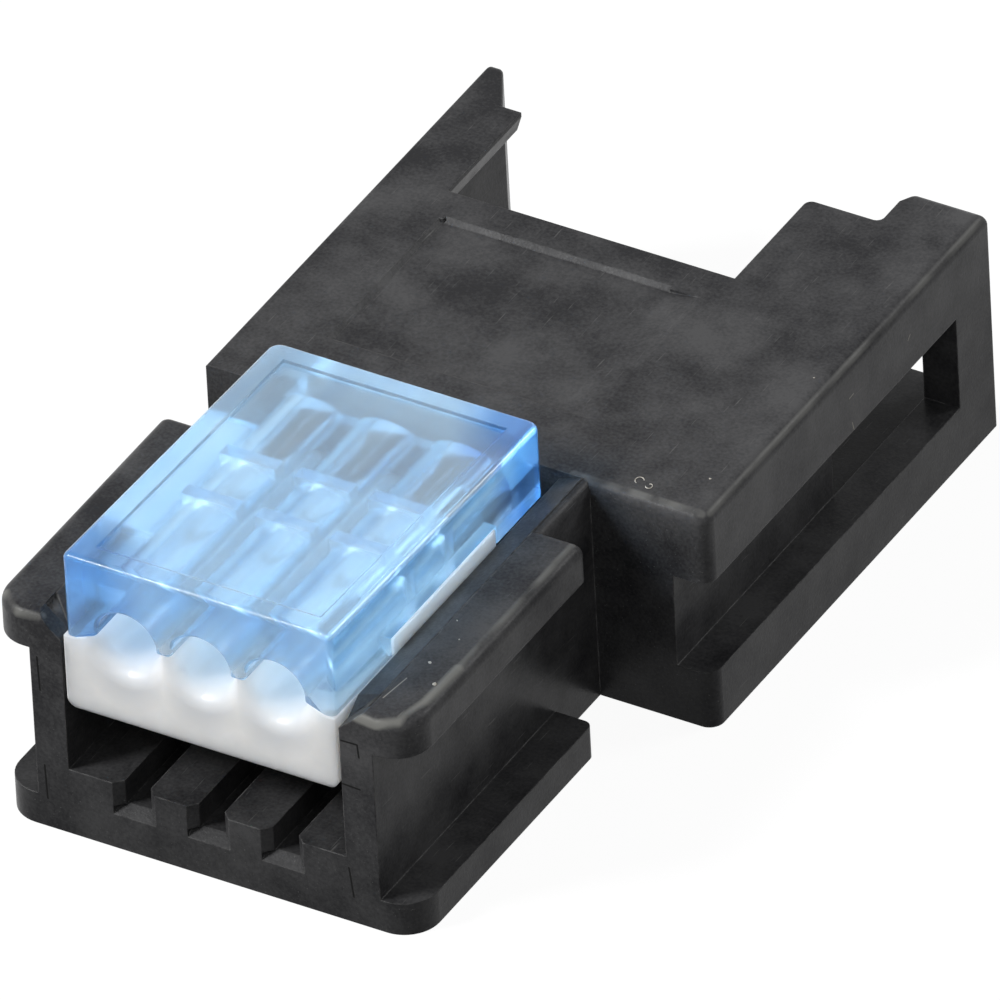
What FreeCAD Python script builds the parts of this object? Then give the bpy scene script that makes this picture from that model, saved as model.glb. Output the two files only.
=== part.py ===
"""Three-way wire-mount socket with its cover raised, as it is before the wires are pressed in.

The parts are drawn in the connector's own axes, in millimetres: X runs across the wires from
the middle contact, Y runs from the wire end towards the mating end, and Z stands on the base.
Each part is then placed so that the middle of the base outline is the origin.
"""
import FreeCAD
import Part
import Sketcher
import math
import os
from types import SimpleNamespace

WAYS = 3

SIZES = {
    # Wires and the channel that they are pressed into
    "pitch": 2.0,
    "end_margin": 1.74,
    "side_wall": 0.88,
    "rear_room": 0.41,
    "housing_height": 6.2,
    "rib_height": 1.88,
    "slot_floor": 1.2,
    "slot_width": 0.7,
    "slot_flare": 0.22,
    "sill_drop": 0.22,
    "sill_length": 0.3,
    "lead_in_width": 0.66,
    "lead_in_drop": 0.57,
    # Flanges round the wire end
    "base_flange_reach": 1.03,
    "base_flange_height": 0.9,
    "top_flange_reach": 1.08,
    "top_flange_thickness": 1.05,
    "flange_length": 8.15,
    "flange_corner": 0.9,
    "flange_rear_corner": 0.22,
    # Keyed mating shroud
    "wing_overlap": 0.1,
    "left_wing": 1.13,
    "right_wing": 3.13,
    "block_length": 7.3,
    "shroud_depth": 6.05,
    "left_shroud_wall": 1.15,
    "right_shroud_wall": 0.97,
    "shroud_floor": 0.85,
    "shroud_roof": 1.05,
    "wing_corner": 0.38,
    "moulded_edge": 0.3,
    "small_edge": 0.12,
    "crisp_edge": 0.07,
    # Notches in the shroud's roof and floor
    "notch_depth": 4.95,
    "lip_reach": 0.5,
    "lip_edge": 0.12,
    "lip_bulge": 0.14,
    "lip_bulge_drop": 0.56,
    "shoulder": 1.47,
    "prong_width": 4.06,
    "prong_step": 2.1,
    "prong_chamfer": 0.31,
    "prong_chamfer_length": 0.55,
    "prong_corner": 0.2,
    "floor_strip_width": 2.35,
    "tip_width": 0.3,
    "tip_round": 0.13,
    # Side slot for the mating half's latch
    "latch_slot_low": 1.6,
    "latch_slot_high": 4.2,
    "latch_post": 1.72,
    # Shallow panel on the roof
    "panel_rear_margin": 0.9,
    "panel_length": 5.4,
    "panel_left": 3.75,
    "panel_right": 3.4,
    "panel_depth": 0.12,
    "panel_slope": 0.12,
    "panel_fade": 0.9,
    # Passages for the contacts
    "passage_clearance": 0.05,
    "passage_height": 1.75,
    "entry_wall": 0.7,
    "entry_width": 0.75,
    "entry_height": 0.75,
    # Raised cover and wire guide
    "travel": 1.9,
    "seat_gap": 0.02,
    "guide_gap": 0.09,
    "guide_length": 7.5,
    "wire_hole": 1.6,
    "wire_axis": 2.3,
    "guide_corner": 0.25,
    "trough_flare": 0.45,
    "cover_gap": 0.12,
    "cover_front": 0.05,
    "cover_length": 9.84,
    "cover_top": 4.4,
    "cover_top_fall": 0.36,
    "cover_rim": 0.6,
    "cover_recess": 0.1,
    "cover_edge": 0.16,
    "cover_rear_corner": 0.32,
    "arch_flare": 0.1,
    "foot_drop": 0.26,
    "foot_width": 0.27,
    "foot_slope": 0.65,
    "front_foot": 2.65,
    "rear_foot": 2.29,
    "rear_wall": 1.04,
    "rear_wall_lift": 0.35,
    "side_recess": 0.25,
    # Contacts
    "metal": 0.2,
    "strip_width": 0.6,
    "strip_lead": 0.8,
    "blade_width": 1.3,
    "blade_first": 4.2,
    "blade_spacing": 1.8,
    "blade_height": 5.15,
    "blade_slot": 0.36,
    "blade_slot_depth": 1.75,
    "blade_mouth": 0.3,
    "blade_clearance": 0.1,
    "arm_lead": 1.1,
    "arm_end_gap": 0.6,
    "arm_spread": 0.52,
    "arm_pinch": 0.36,
    "arm_height": 1.1,
}


class Length(float):
    """A length in millimetres that remembers the formula it was worked out from."""

    def __new__(cls, value, text):
        length = super().__new__(cls, value)
        length.text = text
        return length

    def __add__(self, other):
        return Length(float(self) + float(other), f"({self.text} + {formula(other)})")

    def __radd__(self, other):
        return Length(float(other) + float(self), f"({formula(other)} + {self.text})")

    def __sub__(self, other):
        return Length(float(self) - float(other), f"({self.text} - {formula(other)})")

    def __rsub__(self, other):
        return Length(float(other) - float(self), f"({formula(other)} - {self.text})")

    def __mul__(self, other):
        return Length(float(self) * float(other), f"({self.text} * {formula(other)})")

    def __rmul__(self, other):
        return Length(float(other) * float(self), f"({formula(other)} * {self.text})")

    def __truediv__(self, other):
        return Length(float(self) / float(other), f"({self.text} / {formula(other)})")

    def __neg__(self):
        return Length(-float(self), f"(0 - {self.text})")


def formula(value):
    """The formula of a length, or a plain number as text."""
    return value.text if isinstance(value, Length) else repr(float(value))


doc = FreeCAD.newDocument("WireMountSocket")
sheet = doc.addObject("Spreadsheet::Sheet", "Sizes")
for row, (alias, number) in enumerate(SIZES.items(), start=1):
    sheet.set(f"A{row}", alias)
    sheet.set(f"B{row}", str(number))
    sheet.setAlias(f"B{row}", alias)
doc.recompute()
size = SimpleNamespace(**{name: Length(sheet.get(name), f"Sizes.{name}") for name in SIZES})

# Places that several parts share
wire_span = size.pitch * (WAYS - 1)
channel_half = wire_span / 2 + size.end_margin
wall_half = channel_half + size.side_wall
base_half = wall_half + size.base_flange_reach
top_half = wall_half + size.top_flange_reach
left_side = -(wall_half + size.left_wing)
right_side = wall_half + size.right_wing
shroud_left = left_side + size.left_shroud_wall
shroud_right = right_side - size.right_shroud_wall
roof_under = size.housing_height - size.shroud_roof
guide_bottom = size.rib_height + size.seat_gap + size.travel
wire_height = guide_bottom + size.wire_axis
guide_half = channel_half - size.guide_gap
cover_half = channel_half - size.cover_gap
cover_front = size.cover_front
cover_rear = size.cover_front + size.cover_length
channel_end = cover_rear + size.rear_room
wing_front = channel_end - size.wing_overlap
block_end = channel_end + size.block_length
housing_end = block_end + size.shroud_depth
notch_start = housing_end - size.notch_depth
entry_start = block_end - size.entry_wall
cover_top_front = guide_bottom + size.cover_top
cover_top_rear = cover_top_front - size.cover_top_fall
side_recess_top = wire_height + size.side_recess
recess_front = size.front_foot + size.cover_front
recess_rear = cover_rear - size.rear_foot
first_wire = -(wire_span / 2)
passage_half = size.arm_spread + size.passage_clearance
ZERO = Length(0, "0")
PLANES = {"XY": "XY_Plane", "XZ": "XZ_Plane", "YZ": "YZ_Plane"}


def new_body(name):
    """An empty part whose axes are moved from the middle contact to the middle of the base."""
    body = doc.addObject("PartDesign::Body", name)
    body.Label = name
    body.setExpression("Placement.Base.x", ((left_side + right_side) / -2).text)
    body.setExpression("Placement.Base.y", (housing_end / -2).text)
    return body


def new_sketch(body, name, plane, level):
    """A sketch on one of the part's own planes, lifted to a level along the world axis."""
    sketch = body.newObject("Sketcher::SketchObject", name)
    role = PLANES[plane]
    base = [item for item in body.Origin.OriginFeatures if item.Role == role][0]
    sketch.AttachmentSupport = [(base, "")]
    sketch.MapMode = "FlatFace"
    lift = -level if plane == "XZ" else level
    sketch.setExpression("AttachmentOffset.Base.z", lift.text)
    return sketch


def fix_point(sketch, geometry, point, across, along):
    """Ties one point of a sketch to its two distances from the origin."""
    for kind, value in (("DistanceX", across), ("DistanceY", along)):
        number = sketch.addConstraint(
            Sketcher.Constraint(kind, -1, 1, geometry, point, float(value)))
        sketch.setExpression(f"Constraints[{number}]", formula(value))


def add_outline(sketch, corners):
    """A closed outline of straight lines through corners given as (across, along) lengths."""
    first = sketch.GeometryCount
    count = len(corners)
    points = [FreeCAD.Vector(float(across), float(along), 0) for across, along in corners]
    for number in range(count):
        sketch.addGeometry(Part.LineSegment(points[number], points[(number + 1) % count]))
    for number in range(count):
        follower = first + (number + 1) % count
        sketch.addConstraint(Sketcher.Constraint("Coincident", first + number, 2, follower, 1))
    for number, (across, along) in enumerate(corners):
        fix_point(sketch, first + number, 1, across, along)


def add_circle(sketch, across, along, diameter):
    """A circle with its centre and diameter tied to sizes."""
    centre = FreeCAD.Vector(float(across), float(along), 0)
    up = FreeCAD.Vector(0, 0, 1)
    number = sketch.addGeometry(Part.Circle(centre, up, float(diameter) / 2))
    fix_point(sketch, number, 3, across, along)
    width = sketch.addConstraint(Sketcher.Constraint("Diameter", number, float(diameter)))
    sketch.setExpression(f"Constraints[{width}]", formula(diameter))


def rectangle(low, high):
    """The four corners of an upright rectangle between two opposite corners."""
    return [low, (high[0], low[1]), high, (low[0], high[1])]


def extrude(body, kind, name, sketch, plane, length):
    """Adds or cuts a prism that grows from its sketch towards +X, +Y or +Z."""
    doc.recompute()
    before = body.Shape.Volume if body.Tip and not body.Shape.isNull() else 0
    feature = body.newObject(f"PartDesign::{kind}", name)
    feature.Profile = sketch
    feature.setExpression("Length", length.text)
    feature.Reversed = (kind == "Pad") == (plane == "XZ")
    sketch.Visibility = False
    doc.recompute()
    change = body.Shape.Volume - before
    if (change if kind == "Pad" else -change) <= 0:
        raise RuntimeError(f"{name} changed the volume of {body.Label} by {change:.4f}")
    return feature


def prism(body, kind, name, plane, corners, low, high):
    """A straight-sided pad or pocket between two levels along the axis across its plane."""
    sketch = new_sketch(body, f"{name}_outline", plane, low)
    add_outline(sketch, corners)
    return extrude(body, kind, name, sketch, plane, high - low)


def bore(body, name, across, along, diameter, low, high):
    """A round pocket along Y between two levels."""
    sketch = new_sketch(body, f"{name}_outline", "XZ", low)
    add_circle(sketch, across, along, diameter)
    return extrude(body, "Pocket", name, sketch, "XZ", high - low)


def repeat_across(body, name, features, span=wire_span, count=WAYS, axis="X_Axis"):
    """Repeats features along one axis of the part, once for each wire by default."""
    doc.recompute()
    pattern = body.newObject("PartDesign::LinearPattern", name)
    pattern.Originals = features
    line = [item for item in body.Origin.OriginFeatures if item.Role == axis][0]
    pattern.Direction = (line, [""])
    pattern.setExpression("Length", span.text)
    pattern.Occurrences = count
    body.Tip = pattern
    doc.recompute()
    return pattern


def dress(body, kind, name, amount, picks):
    """Rounds or chamfers the edges of the finished shape so far that a test picks."""
    doc.recompute()
    base = body.Tip
    numbered = enumerate(base.Shape.Edges, start=1)
    edges = [f"Edge{number}" for number, edge in numbered if not edge.Degenerated and picks(edge)]
    if not edges:
        raise RuntimeError(f"{name} found no edges on {body.Label}")
    feature = body.newObject(f"PartDesign::{kind}", name)
    feature.Base = (base, edges)
    feature.setExpression("Radius" if kind == "Fillet" else "Size", amount.text)
    doc.recompute()
    return feature


def lies(edge, x=None, y=None, z=None):
    """True where an edge's two ends both lie at the given places, each a length or a pair."""
    for vertex in edge.Vertexes:
        for place, found in ((x, vertex.X), (y, vertex.Y), (z, vertex.Z)):
            if place is None:
                continue
            low, high = place if isinstance(place, tuple) else (place, place)
            if not float(low) - 1e-4 <= found <= float(high) + 1e-4:
                return False
    return True


def upright(edge):
    """True for a straight edge along Z."""
    return edge.Curve.TypeId == "Part::GeomLine" and abs(edge.tangentAt(edge.FirstParameter).z) > 0.999


def bell_mouth(body, name, front, flare):
    """A rounded funnel where a wire hole starts: a curved profile turned about the wire."""
    sketch = new_sketch(body, f"{name}_outline", "YZ", first_wire)
    deep = front + flare
    throat = wire_height - size.wire_hole / 2
    rim = throat - flare
    corners = [(front, rim), (front, wire_height), (deep, wire_height), (deep, throat)]
    points = [FreeCAD.Vector(float(along), float(up), 0) for along, up in corners]
    lines = [sketch.addGeometry(Part.LineSegment(*points[number:number + 2])) for number in range(3)]
    circle = Part.Circle(FreeCAD.Vector(points[3].x, points[0].y, 0), FreeCAD.Vector(0, 0, 1),
                         float(flare))
    curve = sketch.addGeometry(Part.ArcOfCircle(circle, math.pi / 2, math.pi))
    for first, second in ((lines[0], lines[1]), (lines[1], lines[2])):
        sketch.addConstraint(Sketcher.Constraint("Coincident", first, 2, second, 1))
    sketch.addConstraint(Sketcher.Constraint("Coincident", lines[2], 2, curve, 1))
    sketch.addConstraint(Sketcher.Constraint("Coincident", curve, 2, lines[0], 1))
    for line, (along, up) in zip(lines, corners):
        fix_point(sketch, line, 1, along, up)
    fix_point(sketch, lines[2], 2, deep, throat)
    radius = sketch.addConstraint(Sketcher.Constraint("Radius", curve, float(flare)))
    sketch.setExpression(f"Constraints[{radius}]", formula(flare))
    axis = sketch.addGeometry(Part.LineSegment(points[1], points[2]), True)
    fix_point(sketch, axis, 1, front, wire_height)
    fix_point(sketch, axis, 2, deep, wire_height)
    doc.recompute()
    before = body.Shape.Volume
    feature = body.newObject("PartDesign::Groove", name)
    feature.Profile = sketch
    feature.ReferenceAxis = (sketch, ["Axis0"])
    feature.Angle = 360
    sketch.Visibility = False
    doc.recompute()
    if body.Shape.Volume >= before:
        raise RuntimeError(f"{name} cut nothing from {body.Label}")
    return feature


def hole_rim(edge, front):
    """True for the curved edge of a wire hole on the face at a place along Y."""
    curve = edge.Curve
    return (lies(edge, y=front) and curve.TypeId == "Part::GeomCircle"
            and abs(curve.Radius - float(size.wire_hole) / 2) < 1e-4)


def housing_outside(body):
    """The solid outside of the housing: neck, shroud and the two flanges, with their rounding."""
    height = size.housing_height
    front = wing_front
    rear = housing_end
    plan = [(-wall_half, ZERO), (wall_half, ZERO), (wall_half, front), (right_side, front),
            (right_side, rear), (left_side, rear), (left_side, front), (-wall_half, front)]
    prism(body, "Pad", "neck_and_shroud", "XY", plan, ZERO, height)
    base_plan = rectangle((-base_half, ZERO), (base_half, size.flange_length))
    prism(body, "Pad", "base_flange", "XY", base_plan, ZERO, size.base_flange_height)
    top_plan = rectangle((-top_half, ZERO), (top_half, size.flange_length))
    prism(body, "Pad", "top_flange", "XY", top_plan, height - size.top_flange_thickness, height)

    def flange_corner(edge):
        outer = any(lies(edge, x=side) for side in (base_half, -base_half, top_half, -top_half))
        return upright(edge) and outer

    dress(body, "Fillet", "flange_front_corners", size.flange_corner,
          lambda edge: flange_corner(edge) and lies(edge, y=ZERO))
    dress(body, "Fillet", "flange_rear_corners", size.flange_rear_corner,
          lambda edge: flange_corner(edge) and lies(edge, y=size.flange_length))
    dress(body, "Fillet", "wing_corner", size.wing_corner,
          lambda edge: upright(edge) and lies(edge, x=right_side, y=front))
    dress(body, "Fillet", "rear_corner", size.small_edge,
          lambda edge: upright(edge) and lies(edge, x=right_side, y=rear))

    def left_wing_edge(edge):
        return lies(edge, x=left_side) or lies(edge, x=(left_side, -wall_half), y=front)

    dress(body, "Fillet", "top_rounding", size.moulded_edge,
          lambda edge: lies(edge, z=height) and not lies(edge, y=rear) and not left_wing_edge(edge))
    dress(body, "Fillet", "left_wing_edge", size.crisp_edge,
          lambda edge: lies(edge, x=left_side, z=height))


def housing_channel(body):
    """The open wire channel with its lead-in, and the slots between the floor ribs."""
    height = size.housing_height
    mouth = channel_half + size.lead_in_width
    ledge = height - size.lead_in_drop
    section = [(-channel_half, size.rib_height), (channel_half, size.rib_height),
               (channel_half, ledge), (mouth, height), (-mouth, height), (-channel_half, ledge)]
    prism(body, "Pocket", "wire_channel", "XZ", section, ZERO, channel_end)
    half = size.slot_width / 2
    flare = size.slot_flare
    slot_plan = [(first_wire - half - flare, ZERO), (first_wire + half + flare, ZERO),
                 (first_wire + half, flare), (first_wire + half, channel_end),
                 (first_wire - half, channel_end), (first_wire - half, flare)]
    slot = prism(body, "Pocket", "floor_slot", "XY", slot_plan, size.slot_floor, size.rib_height)
    sill = [(ZERO, size.slot_floor - size.sill_drop), (size.sill_length, size.slot_floor),
            (ZERO, size.slot_floor)]
    low = first_wire - half - flare
    sill_cut = prism(body, "Pocket", "slot_sill", "YZ", sill, low, low + size.slot_width + flare * 2)
    repeat_across(body, "floor_slots", [slot, sill_cut])


def housing_shroud(body):
    """The hollow mating end: cavity, notched roof and floor, latch slot and contact passages."""
    height = size.housing_height
    rear = housing_end
    middle = height / 2
    cavity = rectangle((shroud_left, size.shroud_floor), (shroud_right, roof_under))
    prism(body, "Pocket", "cavity", "XZ", cavity, block_end, rear)
    lip = shroud_left + size.lip_reach
    shoulder = rear - size.shoulder
    tip = left_side + size.tip_width
    start = notch_start
    step = right_side - size.prong_step
    chamfer_end = step + size.prong_chamfer
    chamfer_start = rear - size.prong_chamfer_length
    prong = right_side - size.prong_width
    roof_notch = [(lip, start), (prong, start), (prong, shoulder), (step, shoulder),
                  (step, chamfer_start), (chamfer_end, rear), (tip, rear),
                  (shroud_left, shoulder), (lip, shoulder)]
    prism(body, "Pocket", "roof_notch", "XY", roof_notch, middle, height)
    strip = right_side - size.floor_strip_width
    floor_notch = [(lip, start), (strip, start), (strip, rear), (tip, rear),
                   (shroud_left, shoulder), (lip, shoulder)]
    prism(body, "Pocket", "floor_notch", "XY", floor_notch, ZERO, middle)
    lip_section = [(shroud_left, roof_under), (lip, roof_under), (lip, height - size.lip_edge),
                   (lip - size.lip_bulge, height - size.lip_bulge_drop)]
    prism(body, "Pocket", "lip_slope", "XZ", lip_section, start, shoulder)
    dress(body, "Fillet", "prong_corners", size.prong_corner,
          lambda edge: upright(edge) and lies(edge, y=shoulder, z=(middle, height))
          and (lies(edge, x=prong) or lies(edge, x=step)))
    dress(body, "Fillet", "tip_rounding", size.tip_round,
          lambda edge: upright(edge) and (lies(edge, x=left_side, y=rear) or lies(edge, x=tip, y=rear)))
    latch = rectangle((wing_front, size.latch_slot_low),
                      (rear - size.latch_post, size.latch_slot_high))
    prism(body, "Pocket", "latch_slot", "YZ", latch, shroud_right, right_side)

    floor = size.slot_floor
    front = channel_end
    passage = rectangle((first_wire - passage_half, floor),
                        (first_wire + passage_half, floor + size.passage_height))
    passage_cut = prism(body, "Pocket", "contact_passage", "XZ", passage, front, entry_start)
    pin_height = floor + size.metal + size.arm_height / 2
    low = pin_height - size.entry_height / 2
    entry = rectangle((first_wire - size.entry_width / 2, low),
                      (first_wire + size.entry_width / 2, low + size.entry_height))
    entry_cut = prism(body, "Pocket", "pin_entry", "XZ", entry, entry_start, block_end)
    repeat_across(body, "contact_passages", [passage_cut, entry_cut])


def housing_panel(body):
    """The shallow bare panel on the roof, with a crisp left side and a fading right side."""
    height = size.housing_height
    bottom = height - size.panel_depth
    flat_left = size.panel_slope - size.panel_left
    flat_right = size.panel_right - size.panel_fade
    section = [(flat_left, bottom), (flat_right, bottom), (size.panel_right, height),
               (-size.panel_left, height)]
    panel_end = notch_start - size.panel_rear_margin
    far_wall = panel_end - size.panel_slope
    prism(body, "Pocket", "roof_panel", "XZ", section, panel_end - size.panel_length, far_wall)
    slope = [(far_wall, bottom), (panel_end, height), (far_wall, height)]
    prism(body, "Pocket", "far_slope", "YZ", slope, flat_left, flat_right)


def build_housing():
    """The black moulded housing."""
    body = new_body("housing")
    housing_outside(body)
    housing_channel(body)
    housing_shroud(body)
    housing_panel(body)
    return body


def build_cover():
    """The translucent cover: the upper halves of the wire holes, with feet beside the guide."""
    body = new_body("cover")
    bottom = wire_height - size.foot_drop
    foot = cover_half - size.foot_width
    inner = foot - size.foot_slope
    side = [(cover_front, bottom), (cover_rear, bottom), (cover_rear, cover_top_rear),
            (cover_front, cover_top_front)]
    prism(body, "Pad", "block", "YZ", side, -cover_half, cover_half)
    dress(body, "Fillet", "rear_corners", size.cover_rear_corner,
          lambda edge: upright(edge) and lies(edge, y=cover_rear))
    dress(body, "Fillet", "front_corners", size.cover_edge,
          lambda edge: upright(edge) and lies(edge, y=cover_front))
    dress(body, "Fillet", "top_edges", size.cover_edge,
          lambda edge: lies(edge, z=(cover_top_rear, cover_top_front)))
    rim = size.cover_rim
    slope = size.cover_top_fall / size.cover_length
    recess_start = cover_front + rim
    recess_end = cover_rear - rim
    high_start = cover_top_front - slope * rim
    high_end = cover_top_rear + slope * rim
    sunk = [(recess_start, high_start - size.cover_recess), (recess_end, high_end - size.cover_recess),
            (recess_end, cover_top_front), (recess_start, cover_top_front)]
    prism(body, "Pocket", "top_recess", "YZ", sunk, rim - cover_half, cover_half - rim)
    under = [(-foot, bottom), (foot, bottom), (inner, wire_height), (-inner, wire_height)]
    prism(body, "Pocket", "parting_face", "XZ", under, cover_front, size.guide_length)
    for name, low, high in (("left", -cover_half, -inner), ("right", inner, cover_half)):
        recess = rectangle((recess_front, bottom), (recess_rear, side_recess_top))
        prism(body, "Pocket", f"{name}_side_recess", "YZ", recess, low, high)

    ceiling = size.blade_height + size.travel + size.blade_clearance
    room = size.metal / 2 + size.blade_clearance
    pocket_half = size.blade_width / 2 + size.blade_clearance
    blade_room = rectangle((first_wire - pocket_half, size.blade_first - room),
                           (first_wire + pocket_half, size.blade_first + room))
    first = prism(body, "Pocket", "front_blade_pocket", "XY", blade_room, bottom, ceiling)
    shift = size.blade_spacing
    rear_room = [(across, along + shift) for across, along in blade_room]
    second = prism(body, "Pocket", "rear_blade_pocket", "XY", rear_room, bottom, ceiling)
    arch_end = cover_rear - size.rear_wall
    channel = bore(body, "wire_arch", first_wire, wire_height, size.wire_hole, cover_front, arch_end)
    repeat_across(body, "wire_rooms", [channel, first, second])
    dress(body, "Fillet", "arch_mouths", size.arch_flare, lambda edge: hole_rim(edge, cover_front))
    outermost = wire_span / 2 + size.wire_hole / 2
    relief = rectangle((-outermost, bottom), (outermost, wire_height + size.rear_wall_lift))
    prism(body, "Pocket", "rear_wall_relief", "XZ", relief, arch_end, cover_rear)
    return body


def build_wire_guide():
    """The white guide: the lower halves of the wire holes, with slots for the blades."""
    body = new_body("wire_guide")
    foot = cover_half - size.foot_width
    inner = foot - size.foot_slope
    low_edge = wire_height - size.foot_drop
    section = [(-guide_half, guide_bottom), (guide_half, guide_bottom), (guide_half, low_edge),
               (foot, low_edge), (inner, wire_height), (-inner, wire_height), (-foot, low_edge),
               (-guide_half, low_edge)]
    prism(body, "Pad", "guide_block", "XZ", section, ZERO, size.guide_length)
    dress(body, "Fillet", "lower_corners", size.guide_corner,
          lambda edge: lies(edge, x=-guide_half, z=guide_bottom)
          or lies(edge, x=guide_half, z=guide_bottom))
    gap = size.guide_gap
    for name, low, high in (("left", -guide_half, gap - inner - size.foot_slope / 2),
                            ("right", inner + size.foot_slope / 2 - gap, guide_half)):
        shoulder = rectangle((recess_front + gap, guide_bottom + size.guide_corner),
                             (size.guide_length, side_recess_top - gap / 2))
        prism(body, "Pad", f"{name}_shoulder", "YZ", shoulder, low, high)
    trough = bore(body, "wire_trough", first_wire, wire_height, size.wire_hole, ZERO,
                  size.guide_length)
    mouth = bell_mouth(body, "trough_mouth", ZERO, size.trough_flare)
    room = size.metal / 2 + size.blade_clearance
    slot_half = size.blade_width / 2 + size.blade_clearance
    blade_slot = rectangle((first_wire - slot_half, size.blade_first - room),
                           (first_wire + slot_half, size.blade_first + room))
    first = prism(body, "Pocket", "front_blade_slot", "XY", blade_slot, guide_bottom, wire_height)
    rear_slot = [(across, along + size.blade_spacing) for across, along in blade_slot]
    second = prism(body, "Pocket", "rear_blade_slot", "XY", rear_slot, guide_bottom, wire_height)
    repeat_across(body, "wire_troughs", [trough, mouth, first, second])
    return body


def build_contact(number):
    """One contact: a base strip, two slotted blades and a two-armed receptacle."""
    body = new_body(f"contact_{number + 1}")
    centre = first_wire + size.pitch * number
    floor = size.slot_floor
    strip_half = size.strip_width / 2
    start = channel_end + size.arm_lead
    end = entry_start - size.arm_end_gap
    length = end - start
    strip = rectangle((centre - strip_half, size.blade_first - size.strip_lead),
                      (centre + strip_half, start + length / 2))
    prism(body, "Pad", "base_strip", "XY", strip, floor, floor + size.metal)
    half = size.blade_width / 2
    slot_half = size.blade_slot / 2
    mouth_half = slot_half + size.blade_mouth
    shelf = size.rib_height + size.seat_gap + size.metal / 2
    top = size.blade_height
    root = top - size.blade_slot_depth
    blade = [(centre - strip_half, floor), (centre + strip_half, floor), (centre + strip_half, shelf),
             (centre + half, shelf), (centre + half, top - size.blade_mouth),
             (centre + mouth_half, top), (centre + slot_half, top - size.blade_mouth),
             (centre + slot_half, root), (centre - slot_half, root),
             (centre - slot_half, top - size.blade_mouth), (centre - mouth_half, top),
             (centre - half, top - size.blade_mouth), (centre - half, shelf),
             (centre - strip_half, shelf)]
    for name, place in (("front", size.blade_first),
                        ("rear", size.blade_first + size.blade_spacing)):
        low = place - size.metal / 2
        prism(body, "Pad", f"{name}_blade", "XZ", blade, low, low + size.metal)
    pinch_place = end - length / 5
    metal = size.metal
    for name, side in (("left", -1), ("right", 1)):
        outer = size.arm_spread * side
        pinch = size.arm_pinch * side
        thick = metal * side
        arm = [(centre + outer, start), (centre + outer, start + metal * 4),
               (centre + pinch, pinch_place), (centre + outer, end),
               (centre + outer - thick, end), (centre + pinch - thick, pinch_place),
               (centre + outer - thick, start + metal * 4), (centre + outer - thick, start)]
        prism(body, "Pad", f"{name}_arm", "XY", arm, floor, floor + metal + size.arm_height)
    return body


def check_and_write():
    """Checks every object and writes each part's solid to its own file."""
    doc.recompute()
    for item in doc.Objects:
        if "Invalid" in item.State or "Error" in item.State:
            raise RuntimeError(f"{item.Name} could not be worked out: {item.State}")
    os.makedirs("parts", exist_ok=True)
    for part in parts:
        shape = part.Shape
        if shape.isNull() or not shape.isValid() or len(shape.Solids) != 1:
            raise RuntimeError(f"{part.Label} is not one sound solid")
        shape.exportStep(f"parts/{part.Label}.step")
        box = shape.BoundBox
        print(f"{part.Label}: {shape.Volume:.3f} mm3, X {box.XMin:.2f} to {box.XMax:.2f}, "
              f"Y {box.YMin:.2f} to {box.YMax:.2f}, Z {box.ZMin:.2f} to {box.ZMax:.2f}")


parts = [build_housing(), build_cover(), build_wire_guide()]
parts += [build_contact(number) for number in range(WAYS)]
check_and_write()
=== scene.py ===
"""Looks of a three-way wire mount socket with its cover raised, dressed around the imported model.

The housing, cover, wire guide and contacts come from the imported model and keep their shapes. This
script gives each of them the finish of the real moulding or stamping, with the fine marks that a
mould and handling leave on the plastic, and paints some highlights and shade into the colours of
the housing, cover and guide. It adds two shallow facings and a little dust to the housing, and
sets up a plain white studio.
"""

import logging
import math
import random
from dataclasses import dataclass
from enum import Enum
from typing import Any

import bmesh
import bpy
from mathutils import Matrix, Vector


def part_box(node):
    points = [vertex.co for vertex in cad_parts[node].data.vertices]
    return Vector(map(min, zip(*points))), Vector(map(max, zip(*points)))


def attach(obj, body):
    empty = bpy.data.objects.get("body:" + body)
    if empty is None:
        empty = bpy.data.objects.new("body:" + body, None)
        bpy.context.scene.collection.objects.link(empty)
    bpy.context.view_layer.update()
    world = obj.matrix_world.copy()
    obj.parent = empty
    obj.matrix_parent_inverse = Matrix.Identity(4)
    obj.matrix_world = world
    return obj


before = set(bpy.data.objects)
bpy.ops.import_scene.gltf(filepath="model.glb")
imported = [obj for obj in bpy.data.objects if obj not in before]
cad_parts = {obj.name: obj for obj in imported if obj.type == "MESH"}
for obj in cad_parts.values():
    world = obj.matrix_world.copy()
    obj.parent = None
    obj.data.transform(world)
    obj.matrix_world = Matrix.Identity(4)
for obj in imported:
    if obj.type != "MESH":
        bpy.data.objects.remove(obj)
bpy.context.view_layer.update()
MM = 0.001
log = logging.getLogger("socket")

Colour = tuple[float, float, float, float]
Place = tuple[float, float, float]
Span = tuple[float, float]
Source = bpy.types.Node | bpy.types.NodeSocket

WHITE: Colour = (1.0, 1.0, 1.0, 1.0)
BLACK: Colour = (0.0, 0.0, 0.0, 1.0)
# The colour inputs of a Mix node share their names with its other ones, so they go by number.
SHARE, FIRST, SECOND = 0, 6, 7


class Body(Enum):
    """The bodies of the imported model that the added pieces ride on."""

    HOUSING = "housing"


class Slot(Enum):
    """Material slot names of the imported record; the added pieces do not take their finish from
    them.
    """

    HOUSING = "housing_plastic"
    GUIDE = "guide_plastic"


def linear(hex_colour: str) -> Colour:
    """Turns an sRGB hex colour into the linear colour that shaders take.

    Args:
        hex_colour: A colour such as "#1d1d1f".

    Returns:
        Red, green, blue and an alpha of 1.
    """
    values = [int(hex_colour[place:place + 2], 16) / 255 for place in (1, 3, 5)]
    red, green, blue = [v / 12.92 if v <= 0.04045 else ((v + 0.055) / 1.055) ** 2.4 for v in values]
    return red, green, blue, 1.0


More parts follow.
